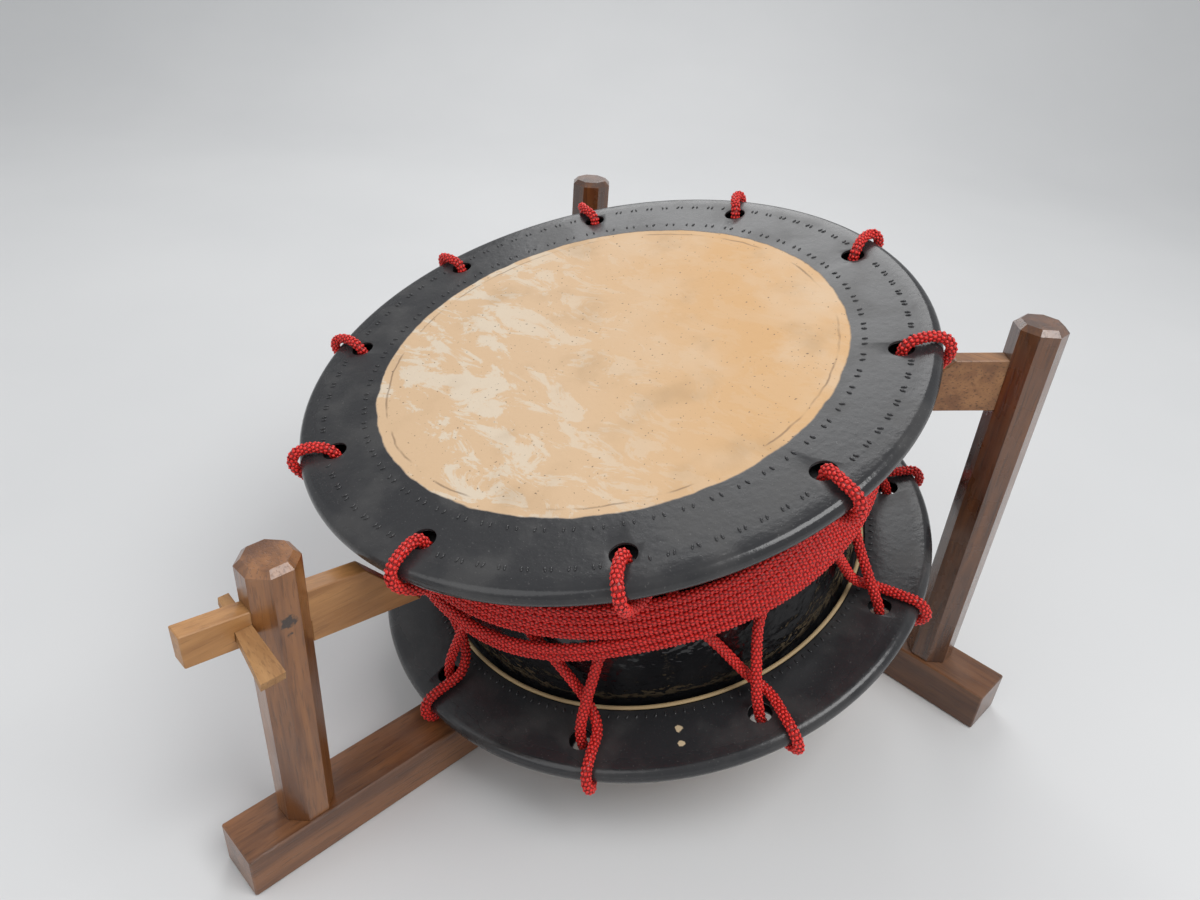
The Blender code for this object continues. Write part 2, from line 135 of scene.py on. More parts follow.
class Nodes:
    """A short way to write a node tree."""

    def __init__(self, tree: bpy.types.NodeTree) -> None:
        """Keeps the tree that the nodes go into."""
        self.tree = tree

    def add(self, kind: str, inputs: dict | None = None, **settings: object) -> bpy.types.Node:
        """Adds a node.

        Args:
            kind: The node's type.
            inputs: A value or an output socket for each input, by name or index.
            settings: The node's own properties.

        Returns:
            The new node.
        """
        node = self.tree.nodes.new(kind)
        for name, value in settings.items():
            setattr(node, name, value)
        for key, value in (inputs or {}).items():
            if isinstance(value, bpy.types.NodeSocket):
                self.tree.links.new(value, node.inputs[key])
            else:
                node.inputs[key].default_value = value
        return node

    def math(self, operation: str, first: object, second: object = 0.0) -> bpy.types.NodeSocket:
        """Returns the result of one Math node."""
        return self.add("ShaderNodeMath", {0: first, 1: second}, operation=operation).outputs[0]

    def times(self, first: object, second: object) -> bpy.types.NodeSocket:
        """Returns the product of two values."""
        return self.math("MULTIPLY", first, second)

    def noise(self, vector: object, scale: float, detail: float = 3.0) -> bpy.types.NodeSocket:
        """Samples a noise.

        Args:
            vector: Where it is read.
            scale: Its scale.
            detail: How many finer layers it has.

        Returns:
            A value of about 0 to 1.
        """
        inputs = {"Vector": vector, "Scale": scale, "Detail": detail}
        return self.add("ShaderNodeTexNoise", inputs).outputs[0]

    def ramp(self, value: object, low: float, high: float) -> bpy.types.NodeSocket:
        """Turns a range into a smooth step.

        Args:
            value: The value that is read.
            low: Where the step begins.
            high: Where it ends, below low for a falling step.

        Returns:
            0 at low and 1 at high.
        """
        inputs = {"Value": value, "From Min": low, "From Max": high}
        return self.add("ShaderNodeMapRange", inputs, interpolation_type="SMOOTHSTEP").outputs[0]

    def mix(self, factor: object, first: object, second: object) -> bpy.types.NodeSocket:
        """Mixes two colours.

        Args:
            factor: The second colour's share.
            first: A colour or an output socket.
            second: The same for the second.

        Returns:
            The mixed colour.
        """
        node = self.add("ShaderNodeMix", data_type="RGBA")
        for slot, value in ((0, factor), (6, first), (7, second)):
            if isinstance(value, bpy.types.NodeSocket):
                self.tree.links.new(value, node.inputs[slot])
            else:
                node.inputs[slot].default_value = value
        return node.outputs[2]


def rgba(colour: tuple[float, float, float]) -> tuple[float, float, float, float]:
    """Returns a colour with full alpha."""
    return (*colour, 1.0)


def new_material(name: str) -> tuple[bpy.types.Material, Nodes, bpy.types.Node]:
    """Makes a node material.

    Args:
        name: The material's name.

    Returns:
        The material, its tree's helper and its Principled node.
    """
    made = bpy.data.materials.new(name)
    made.use_nodes = True
    return made, Nodes(made.node_tree), made.node_tree.nodes["Principled BSDF"]


def wear_group() -> bpy.types.ShaderNodeTree:
    """Builds the group that adds dust, blotches and fine specks to any finish.

    Returns:
        The group, whose outputs feed Base Color, Roughness and a Bump node's Height.
    """
    tree = bpy.data.node_groups.new("handled_surface", "ShaderNodeTree")
    face = tree.interface
    face.new_socket("Color", in_out="INPUT", socket_type="NodeSocketColor")
    face.new_socket("Dust", in_out="INPUT", socket_type="NodeSocketFloat")
    face.new_socket("Roughness", in_out="INPUT", socket_type="NodeSocketFloat")
    face.new_socket("Color", in_out="OUTPUT", socket_type="NodeSocketColor")
    face.new_socket("Roughness", in_out="OUTPUT", socket_type="NodeSocketFloat")
    face.new_socket("Height", in_out="OUTPUT", socket_type="NodeSocketFloat")
    nodes = Nodes(tree)
    given = nodes.add("NodeGroupInput").outputs
    where = nodes.add("ShaderNodeTexCoord").outputs["Object"]
    blotch = nodes.ramp(nodes.noise(where, 38.0, 4.0), 0.42, 0.68)
    speck = nodes.ramp(nodes.noise(where, 900.0, 2.0), 0.66, 0.74)
    soiled = nodes.math("ADD", nodes.times(blotch, 0.5), speck)
    dusty = nodes.times(soiled, given["Dust"])
    colour = nodes.mix(dusty, given["Color"], rgba(DUST))
    rough = nodes.math("ADD", given["Roughness"], nodes.times(blotch, 0.12))
    height = nodes.math("ADD", nodes.noise(where, 420.0, 3.0), nodes.times(speck, 0.4))
    nodes.add("NodeGroupOutput", {"Color": colour, "Roughness": rough, "Height": height})
    return tree


def spot_group() -> bpy.types.ShaderNodeTree:
    """Builds the group that masks one small ragged spot, such as a knot or a chip.

    Returns:
        The group, whose output feeds Base Color.
    """
    tree = bpy.data.node_groups.new("ragged_spot", "ShaderNodeTree")
    face = tree.interface
    face.new_socket("Where", in_out="INPUT", socket_type="NodeSocketVector")
    face.new_socket("Centre", in_out="INPUT", socket_type="NodeSocketVector")
    face.new_socket("Radius", in_out="INPUT", socket_type="NodeSocketFloat")
    face.new_socket("Mask", in_out="OUTPUT", socket_type="NodeSocketFloat")
    nodes = Nodes(tree)
    given = nodes.add("NodeGroupInput").outputs
    gap = nodes.add(
        "ShaderNodeVectorMath", {0: given["Where"], 1: given["Centre"]}, operation="DISTANCE"
    ).outputs["Value"]
    share = nodes.math("DIVIDE", gap, given["Radius"])
    fray = nodes.times(nodes.noise(given["Where"], 420.0), 1.2)
    ragged = nodes.math("ADD", share, fray)
    nodes.add("NodeGroupOutput", {"Mask": nodes.ramp(ragged, 1.7, 1.35)})
    return tree


@dataclass(frozen=True)
class Spot:
    """One knot or chip: its centre, its radius and its colour."""

    centre: tuple[float, float, float]
    radius: float
    colour: tuple[float, float, float]

    def over(
        self, nodes: Nodes, where: bpy.types.NodeSocket, colour: bpy.types.NodeSocket
    ) -> bpy.types.NodeSocket:
        """Lays the spot over a colour.

        Args:
            nodes: The material's tree.
            where: The coordinates that the centre is given in.
            colour: The colour under the spot.

        Returns:
            The colour with the spot.
        """
        tree = bpy.data.node_groups.get("ragged_spot") or spot_group()
        spot = nodes.add("ShaderNodeGroup", {}, node_tree=tree)
        nodes.tree.links.new(where, spot.inputs["Where"])
        spot.inputs["Centre"].default_value = self.centre
        spot.inputs["Radius"].default_value = self.radius
        return nodes.mix(spot.outputs["Mask"], colour, rgba(self.colour))


@dataclass(frozen=True)
class Wood:
    """A varnished or bare wood: its colours, gloss and grain."""

    name: str
    light: tuple[float, float, float]
    dark: tuple[float, float, float]
    grain: Grain
    roughness: float = 0.4
    coat: float = 0.4
    pores: float = 0.35
    dust: float = 0.06
    spots: tuple[Spot, ...] = ()

    def material(self, wear: bpy.types.ShaderNodeTree) -> bpy.types.Material:
        """Builds the wood on Object coordinates.

        Args:
            wear: The group of dust and blotches.

        Returns:
            The material.
        """
        made, nodes, shader = new_material(self.name)
        where = nodes.add("ShaderNodeTexCoord").outputs["Object"]
        along = [1.0, 1.0, 1.0]
        along[self.grain.value] = 0.07
        stretched = nodes.add(
            "ShaderNodeMapping", {"Vector": where, "Scale": tuple(along)}
        ).outputs[0]
        broad = nodes.noise(stretched, 60.0, 4.0)
        bent = nodes.add(
            "ShaderNodeTexNoise",
            {
                "Vector": stretched,
                "Scale": 190.0,
                "Detail": 5.0,
                "Roughness": 0.65,
                "Distortion": 0.6,
            },
        ).outputs[0]
        fine = nodes.noise(stretched, 900.0, 2.0)
        rings = nodes.math("ADD", nodes.times(broad, 0.55), nodes.times(bent, 0.45))
        colour = nodes.mix(nodes.ramp(rings, 0.36, 0.64), rgba(self.dark), rgba(self.light))
        pore = nodes.times(nodes.ramp(fine, 0.56, 0.66), self.pores)
        shade = tuple(0.35 * value for value in self.dark)
        colour = nodes.mix(pore, colour, rgba(shade))
        for spot in self.spots:
            colour = spot.over(nodes, where, colour)
        worn = nodes.add("ShaderNodeGroup", {}, node_tree=wear)
        nodes.tree.links.new(colour, worn.inputs["Color"])
        worn.inputs["Dust"].default_value = self.dust
        worn.inputs["Roughness"].default_value = self.roughness
        nodes.tree.links.new(worn.outputs["Color"], shader.inputs["Base Color"])
        nodes.tree.links.new(worn.outputs["Roughness"], shader.inputs["Roughness"])
        shader.inputs["Coat Weight"].default_value = self.coat
        shader.inputs["Coat Roughness"].default_value = 0.22
        height = nodes.math("SUBTRACT", nodes.times(bent, 0.6), pore)
        height = nodes.math("ADD", height, nodes.times(worn.outputs["Height"], 0.2))
        relief = {"Height": height, "Strength": 0.35, "Distance": 0.0006}
        bump = nodes.add("ShaderNodeBump", relief)
        nodes.tree.links.new(bump.outputs[0], shader.inputs["Normal"])
        return made


@dataclass(frozen=True)
class Lacquer:
    """A dark coat over wood, hide or iron, with waves under its gloss."""

    name: str
    colour: tuple[float, float, float]
    roughness: float
    wave: float
    dust: float
    metallic: float = 0.0

    def material(self, wear: bpy.types.ShaderNodeTree) -> bpy.types.Material:
        """Builds the coat on Object coordinates.

        Args:
            wear: The group of dust and blotches.

        Returns:
            The material.
        """
        made, nodes, shader = new_material(self.name)
        where = nodes.add("ShaderNodeTexCoord").outputs["Object"]
        worn = nodes.add("ShaderNodeGroup", {}, node_tree=wear)
        worn.inputs["Color"].default_value = rgba(self.colour)
        worn.inputs["Dust"].default_value = self.dust
        worn.inputs["Roughness"].default_value = self.roughness
        nodes.tree.links.new(worn.outputs["Color"], shader.inputs["Base Color"])
        nodes.tree.links.new(worn.outputs["Roughness"], shader.inputs["Roughness"])
        shader.inputs["Metallic"].default_value = self.metallic
        swell = nodes.times(nodes.noise(where, 75.0, 2.5), self.wave)
        height = nodes.math("ADD", swell, nodes.times(worn.outputs["Height"], 0.06))
        bump = nodes.add("ShaderNodeBump", {"Height": height, "Strength": 0.5, "Distance": 0.0012})
        nodes.tree.links.new(bump.outputs[0], shader.inputs["Normal"])
        return made


@dataclass(frozen=True)
class Hide:
    """A drumhead: bare hide in the middle, lacquer round it, on the head's own coordinates."""

    name: str
    bare_radius: float
    bare: tuple[float, float, float] = (0.64, 0.44, 0.265)
    warm: tuple[float, float, float] = (0.62, 0.365, 0.160)
    pale: tuple[float, float, float] = (0.67, 0.56, 0.43)
    coat: tuple[float, float, float] = (0.024, 0.024, 0.026)
    spots: tuple[Spot, ...] = ()

    def material(self, wear: bpy.types.ShaderNodeTree) -> bpy.types.Material:
        """Builds the head's material, which reads the mesh's attribute 'local'.

        Args:
            wear: The group of dust and blotches.

        Returns:
            The material.
        """
        made, nodes, shader = new_material(self.name)
        local = nodes.add("ShaderNodeAttribute", attribute_name="local").outputs["Vector"]
        parts = nodes.add("ShaderNodeSeparateXYZ", {0: local}).outputs
        flat = nodes.add("ShaderNodeCombineXYZ", {0: parts[0], 1: parts[1]}).outputs[0]
        radius = nodes.add("ShaderNodeVectorMath", {0: flat}, operation="LENGTH").outputs["Value"]
        rough_edge = nodes.times(nodes.math("SUBTRACT", nodes.noise(flat, 70.0), 0.5), 0.003)
        edge = nodes.math("ADD", radius, rough_edge)
        lacquered = nodes.ramp(edge, self.bare_radius - 0.0006, self.bare_radius + 0.0006)

        streaks = nodes.add(
            "ShaderNodeMapping",
            {"Vector": flat, "Rotation": (0.0, 0.0, -0.6), "Scale": (0.45, 1.0, 1.0)},
        ).outputs[0]
        flakes = nodes.add(
            "ShaderNodeTexNoise",
            {
                "Vector": streaks,
                "Scale": 58.0,
                "Detail": 9.0,
                "Roughness": 0.72,
                "Distortion": 0.7,
            },
        ).outputs[0]
        across = nodes.math("ADD", nodes.times(parts[0], 0.60), nodes.times(parts[1], 0.80))
        side = nodes.ramp(across, 0.05, -0.08)
        some = nodes.math("ADD", nodes.times(side, 0.85), 0.10)
        flaky = nodes.times(nodes.ramp(flakes, 0.50, 0.55), some)
        patchy = nodes.ramp(nodes.noise(flat, 16.0), 0.30, 0.55)
        warmth = nodes.times(nodes.ramp(across, -0.04, 0.09), patchy)
        colour = nodes.mix(warmth, rgba(self.bare), rgba(self.warm))
        colour = nodes.mix(flaky, colour, rgba(self.pale))
        stain = nodes.times(nodes.ramp(nodes.noise(flat, 24.0, 5.0), 0.5, 0.75), 0.35)
        colour = nodes.mix(stain, colour, rgba(STAIN))
        specks = nodes.times(nodes.ramp(nodes.noise(flat, 520.0, 1.0), 0.70, 0.76), 0.8)
        colour = nodes.mix(specks, colour, rgba(SPECK))
        off_circle = nodes.math("ABSOLUTE", nodes.math("SUBTRACT", edge, SCRATCH_CIRCLE))
        ring = nodes.ramp(off_circle, 0.0009, 0.0001)
        scratch = nodes.times(ring, nodes.ramp(nodes.noise(flat, 30.0), 0.45, 0.6))
        colour = nodes.mix(nodes.times(scratch, 0.6), colour, rgba(SCRATCH))

        worn = nodes.add("ShaderNodeGroup", {}, node_tree=wear)
        worn.inputs["Color"].default_value = rgba(self.coat)
        worn.inputs["Dust"].default_value = 0.10
        worn.inputs["Roughness"].default_value = 0.30
        colour = nodes.mix(lacquered, colour, worn.outputs["Color"])
        for spot in self.spots:
            colour = spot.over(nodes, flat, colour)
        nodes.tree.links.new(colour, shader.inputs["Base Color"])
        gloss = nodes.add(
            "ShaderNodeMix", {0: lacquered, 2: 0.62, 3: worn.outputs["Roughness"]}
        ).outputs[0]
        rim = nodes.ramp(radius, 0.1620, 0.1700)
        gloss = nodes.math("SUBTRACT", gloss, nodes.times(rim, 0.14))
        nodes.tree.links.new(gloss, shader.inputs["Roughness"])
        leather = nodes.times(nodes.noise(flat, 190.0, 4.0), 0.5)
        height = nodes.math("ADD", leather, nodes.times(worn.outputs["Height"], 0.25))
        height = nodes.math("ADD", height, nodes.times(lacquered, 0.6))
        height = nodes.math("SUBTRACT", height, nodes.times(scratch, 0.5))
        relief = {"Height": height, "Strength": 0.45, "Distance": 0.0007}
        bump = nodes.add("ShaderNodeBump", relief)
        nodes.tree.links.new(bump.outputs[0], shader.inputs["Normal"])
        return made


@dataclass(frozen=True)
class Cord:
    """A braided cord: red stitches over a core, painted shade on the core and inner sides."""

    name: str
    colour: tuple[float, float, float]
    deep: tuple[float, float, float]

    def material(self) -> bpy.types.Material:
        """Builds the braid's material, with painted shade where the attribute 'rise' is low.

        Returns:
            The material.
        """
        made, nodes, shader = new_material(self.name)
        where = nodes.add("ShaderNodeTexCoord").outputs["Object"]
        patch = nodes.ramp(nodes.noise(where, 140.0, 3.0), 0.35, 0.7)
        fibre = nodes.noise(where, 3200.0, 2.0)
        colour = nodes.mix(nodes.times(patch, 0.6), rgba(self.colour), rgba(self.deep))
        rise = nodes.add("ShaderNodeAttribute", attribute_name="rise").outputs["Fac"]
        # Painted shade: dark red where 'rise' is low, on the stitches' inner sides and the core
        shade = tuple(0.42 * value for value in self.deep)
        colour = nodes.mix(nodes.ramp(rise, -0.10, 0.50), rgba(shade), colour)
        nodes.tree.links.new(colour, shader.inputs["Base Color"])
        rough = nodes.math("ADD", nodes.times(fibre, 0.2), 0.20)
        nodes.tree.links.new(rough, shader.inputs["Roughness"])
        shader.inputs["Sheen Weight"].default_value = 0.04
        bump = nodes.add("ShaderNodeBump", {"Height": fibre, "Strength": 0.3, "Distance": 0.0002})
        nodes.tree.links.new(bump.outputs[0], shader.inputs["Normal"])
        return made


def drum_matrix() -> Matrix:
    """Builds the drum's frame.

    Returns:
        The matrix whose origin lies in the upper face and whose z runs along the axis.
    """
    right = (Vector((1, 0, 0)) - DRUM_AXIS * DRUM_AXIS.x).normalized()
    turn = Matrix((right, DRUM_AXIS.cross(right), DRUM_AXIS)).transposed().to_4x4()
    return Matrix.Translation(DRUM_TOP) @ turn


def arc(
    centre: tuple[float, float], radius: float, start: float, end: float, steps: int
) -> list[tuple[float, float]]:
    """Draws an arc in a profile.

    Args:
        centre: The arc's centre.
        radius: Its radius.
        start: Its first angle, in degrees.
        end: Its last angle, in degrees.
        steps: How many stretches it has.

    Returns:
        Points as (radius, height).
    """
    turns = [math.radians(start + (end - start) * i / steps) for i in range(steps + 1)]
    return [(centre[0] + radius * math.cos(t), centre[1] + radius * math.sin(t)) for t in turns]


def around(azimuth: float, radius: float, height: float) -> Vector:
    """Returns a point in the drum's frame from its azimuth in degrees."""
    turn = math.radians(azimuth)
    return Vector((radius * math.cos(turn), radius * math.sin(turn), height))


def revolved(
    name: str, profile: list[tuple[float, float]], segments: int, closed: bool
) -> bpy.types.Object:
    """Spins a profile round the drum's axis.

    Args:
        name: The object's name.
        profile: Points as (radius, height).
        segments: How many there are round the axis.
        closed: Whether the last point joins the first.

    Returns:
        The object, in the drum's frame.
    """
    shape = bmesh.new()
    rows = []
    for radius, height in profile:
        count = 1 if radius == 0.0 else segments
        spots = [around(360.0 * i / segments, radius, height) for i in range(count)]
        rows.append([shape.verts.new(spot) for spot in spots])
    pairs = list(zip(rows, rows[1:]))
    if closed:
        pairs.append((rows[-1], rows[0]))
    for first, second in pairs:
        if len(first) == 1 and len(second) == 1:
            continue
        for i in range(segments):
            j = (i + 1) % segments
            if len(first) == 1:
                shape.faces.new((first[0], second[i], second[j]))
            elif len(second) == 1:
                shape.faces.new((first[i], second[0], first[j]))
            else:
                shape.faces.new((first[i], second[i], second[j], first[j]))
    bmesh.ops.recalc_face_normals(shape, faces=shape.faces[:])
    mesh = bpy.data.meshes.new(name)
    shape.to_mesh(mesh)
    shape.free()
    made = bpy.data.objects.new(name, mesh)
    bpy.context.scene.collection.objects.link(made)
    return made


def bake(item: bpy.types.Object, place: Matrix | None = None) -> bpy.types.Object:
    """Turns an object's modifiers into a plain mesh.

    Args:
        item: The object, whose name the result takes.
        place: Applied to the result's points.

    Returns:
        The plain object, at the origin.
    """
    graph = bpy.context.evaluated_depsgraph_get()
    mesh = bpy.data.meshes.new_from_object(item.evaluated_get(graph))
    name = item.name
    bpy.data.objects.remove(item, do_unlink=True)
    mesh.name = name
    if place is not None:
        mesh.transform(place)
    made = bpy.data.objects.new(name, mesh)
    bpy.context.scene.collection.objects.link(made)
    return made


def mark_local(item: bpy.types.Object) -> None:
    """Stores each point's place in the drum's frame as the attribute 'local'.

    Args:
        item: The object that is marked.
    """
    back = drum_matrix().inverted()
    local = item.data.attributes.new("local", "FLOAT_VECTOR", "POINT")
    for i, vert in enumerate(item.data.vertices):
        local.data[i].vector = back @ vert.co


def smooth(item: bpy.types.Object, angle: float = 40.0) -> None:
    """Shades an object smooth, sharp past an angle in degrees."""
    item.data.shade_smooth()
    item.data.set_sharp_from_angle(angle=math.radians(angle))


def dress(item: bpy.types.Object, finish: bpy.types.Material) -> None:
    """Gives an object one material."""
    item.data.materials.clear()
    item.data.materials.append(finish)


@dataclass
class Head:
    """One hide head with its rope holes and its rows of lacquered stitches."""

    name: str
    side: int
    first_azimuth: float
    finish: bpy.types.Material
    stitch_finish: bpy.types.Material
    segments: int = 200
    stitch_rows: tuple[tuple[float, int], ...] = STITCH_ROWS

    def profile(self) -> list[tuple[float, float]]:
        """Draws the hide's section: drumhead, roll round the ring, flap.

        Returns:
            Points as (radius, height).
        """
        centre = (HEAD_RADIUS - ROLL_RADIUS, -ROLL_RADIUS)
        face = (0.0, 0.05, 0.1, BODY_END_RADIUS, 0.150, 0.163)
        rows = [(radius, 0.0) for radius in face]
        rows += arc(centre, ROLL_RADIUS, 90, -90, 14)
        rows += [(0.150, -2 * ROLL_RADIUS), (FLAP_END, -2 * ROLL_RADIUS)]
        rows += [(FLAP_END, -2 * ROLL_RADIUS + SKIN)]
        rows += arc(centre, ROLL_RADIUS - SKIN, -90, 90, 8)
        return rows + [(BODY_END_RADIUS, -SKIN), (0.0, -SKIN)]

    def build(self) -> None:
        """Makes the head with cut, softened hole edges and replaces the CAD node."""
        shift = 0.0 if self.side > 0 else -DRUM_HEIGHT
        rows = [(r, self.side * z + shift) for r, z in self.profile()]
        head = revolved("hide_" + self.name, rows, self.segments, closed=False)
        holes = self.cutter(shift)
        modifier = head.modifiers.new("holes", "BOOLEAN")
        modifier.object = holes
        modifier.solver = "EXACT"
        soft = head.modifiers.new("soft_holes", "BEVEL")
        soft.width = 0.0008
        soft.segments = 2
        soft.limit_method = "ANGLE"
        soft.angle_limit = math.radians(60)
        head = bake(head, drum_matrix())
        bpy.data.objects.remove(holes, do_unlink=True)
        mark_local(head)
        smooth(head)
        dress(head, self.finish)
        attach(head, "drum")
        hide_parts("head_" + self.name)
        LOG.info("head %s: %d faces", self.name, len(head.data.polygons))
        self.build_stitches(shift)

    def cutter(self, shift: float) -> bpy.types.Object:
        """Makes the ten hole cutters.

        Args:
            shift: The height of the head's outer face.

        Returns:
            The cutters as one object.
        """
        shape = bmesh.new()
        for i in range(HOLE_COUNT):
            azimuth = self.first_azimuth + 360 * i / HOLE_COUNT
            spot = around(azimuth, HOLE_CIRCLE, shift - self.side * ROLL_RADIUS)
            bmesh.ops.create_cone(
                shape, cap_ends=True, segments=28, radius1=HOLE_RADIUS, radius2=HOLE_RADIUS,
                depth=4 * ROLL_RADIUS, matrix=Matrix.Translation(spot),
            )
        mesh = bpy.data.meshes.new("holes")
        shape.to_mesh(mesh)
        shape.free()
        made = bpy.data.objects.new("holes_" + self.name, mesh)
        bpy.context.scene.collection.objects.link(made)
        return made

    def build_stitches(self, shift: float) -> None:
        """Sets lacquered stitches round the flange, those at the holes left out.

        Args:
            shift: The height of the head's outer face.
        """
        seats = []
        for radius, count in self.stitch_rows:
            for i in range(count):
                azimuth = 360.0 * i / count + (STITCH_STAGGER if i % 2 else 0.0)
                near = (azimuth - self.first_azimuth + 18.0) % 36.0 - 18.0
                if abs(near) < HOLE_CLEARANCE and radius > HOLE_CIRCLE:
                    continue
                seats.append(around(azimuth, radius, shift + self.side * STITCH_SUNK))
        flap = shift - self.side * 2 * ROLL_RADIUS
        for i in range(FLAP_STITCH_COUNT):
            azimuth = 360.0 * i / FLAP_STITCH_COUNT
            seats.append(around(azimuth, FLAP_STITCH_RADIUS, flap - self.side * STITCH_SUNK))
        mesh = bpy.data.meshes.new("seats")
        mesh.from_pydata(seats, [], [])
        item = bpy.data.objects.new("stitches_" + self.name, mesh)
        bpy.context.scene.collection.objects.link(item)
        modifier = item.modifiers.new("stitches", "NODES")
        modifier.node_group = stitch_tree(self.stitch_finish)
        set_input(modifier, "Length", STITCH_LENGTH)
        set_input(modifier, "Width", STITCH_WIDTH)
        item = bake(item, drum_matrix())
        smooth(item, 80.0)
        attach(item, "drum")
        LOG.info("stitches %s: %d faces", self.name, len(item.data.polygons))


def set_input(modifier: bpy.types.NodesModifier, name: str, value: object) -> None:
    """Sets a Geometry Nodes input by its socket's identifier.

    Args:
        modifier: The modifier.
        name: The input's name in the tree.
        value: Its new value.
    """
    for item in modifier.node_group.interface.items_tree:
        if item.item_type == "SOCKET" and item.in_out == "INPUT" and item.name == name:
            modifier[item.identifier] = value


def geometry_tree(name: str, inputs: dict[str, float]) -> tuple[Nodes, bpy.types.Node]:
    """Starts a Geometry Nodes tree.

    Args:
        name: The tree's name.
        inputs: Its float inputs and their defaults.

    Returns:
        The tree's helper and its input node.
    """
    tree = bpy.data.node_groups.new(name, "GeometryNodeTree")
    tree.interface.new_socket("Geometry", in_out="INPUT", socket_type="NodeSocketGeometry")
    for key, value in inputs.items():
        made = tree.interface.new_socket(key, in_out="INPUT", socket_type="NodeSocketFloat")
        made.default_value = value
    tree.interface.new_socket("Geometry", in_out="OUTPUT", socket_type="NodeSocketGeometry")
    nodes = Nodes(tree)
    return nodes, nodes.add("NodeGroupInput")


def end_tree(
    nodes: Nodes, geometry: bpy.types.NodeSocket, finish: bpy.types.Material
) -> bpy.types.NodeTree:
    """Ends a tree in Realize Instances and Set Material.

    Args:
        nodes: The tree's helper.
        geometry: What the tree has made.
        finish: The material that it takes.

    Returns:
        The tree.
    """
    real = nodes.add("GeometryNodeRealizeInstances", {0: geometry}).outputs[0]
    done = nodes.add("GeometryNodeSetMaterial", {"Geometry": real, "Material": finish}).outputs[0]
    nodes.add("NodeGroupOutput", {0: done})
    return nodes.tree


def stitch_tree(finish: bpy.types.Material) -> bpy.types.NodeTree:
    """Builds the tree that sets one small stitch on every point, pointing to the axis.

    Args:
        finish: The stitches' material.

    Returns:
        The tree, with inputs Length and Width.
    """
    nodes, given = geometry_tree("stitch_rows", {"Length": 0.002, "Width": 0.0008})
    ball = nodes.add("GeometryNodeMeshIcoSphere", {"Radius": 0.5, "Subdivisions": 2}).outputs[0]
    width = given.outputs["Width"]
    size = nodes.add(
        "ShaderNodeCombineXYZ", {0: given.outputs["Length"], 1: width, 2: width}
    ).outputs[0]
    place = nodes.add("GeometryNodeInputPosition").outputs[0]
    parts = nodes.add("ShaderNodeSeparateXYZ", {0: place}).outputs
    azimuth = nodes.math("ARCTAN2", parts[1], parts[0])
    wobble = nodes.add(
        "FunctionNodeRandomValue", {2: -0.35, 3: 0.35, "Seed": 7}, data_type="FLOAT"
    ).outputs[1]
    turned = nodes.math("ADD", azimuth, wobble)
    angle = nodes.add("ShaderNodeCombineXYZ", {2: turned}).outputs[0]
    inputs = {"Points": given.outputs[0], "Instance": ball, "Rotation": angle, "Scale": size}
    rows = nodes.add("GeometryNodeInstanceOnPoints", inputs).outputs[0]
    return end_tree(nodes, rows, finish)


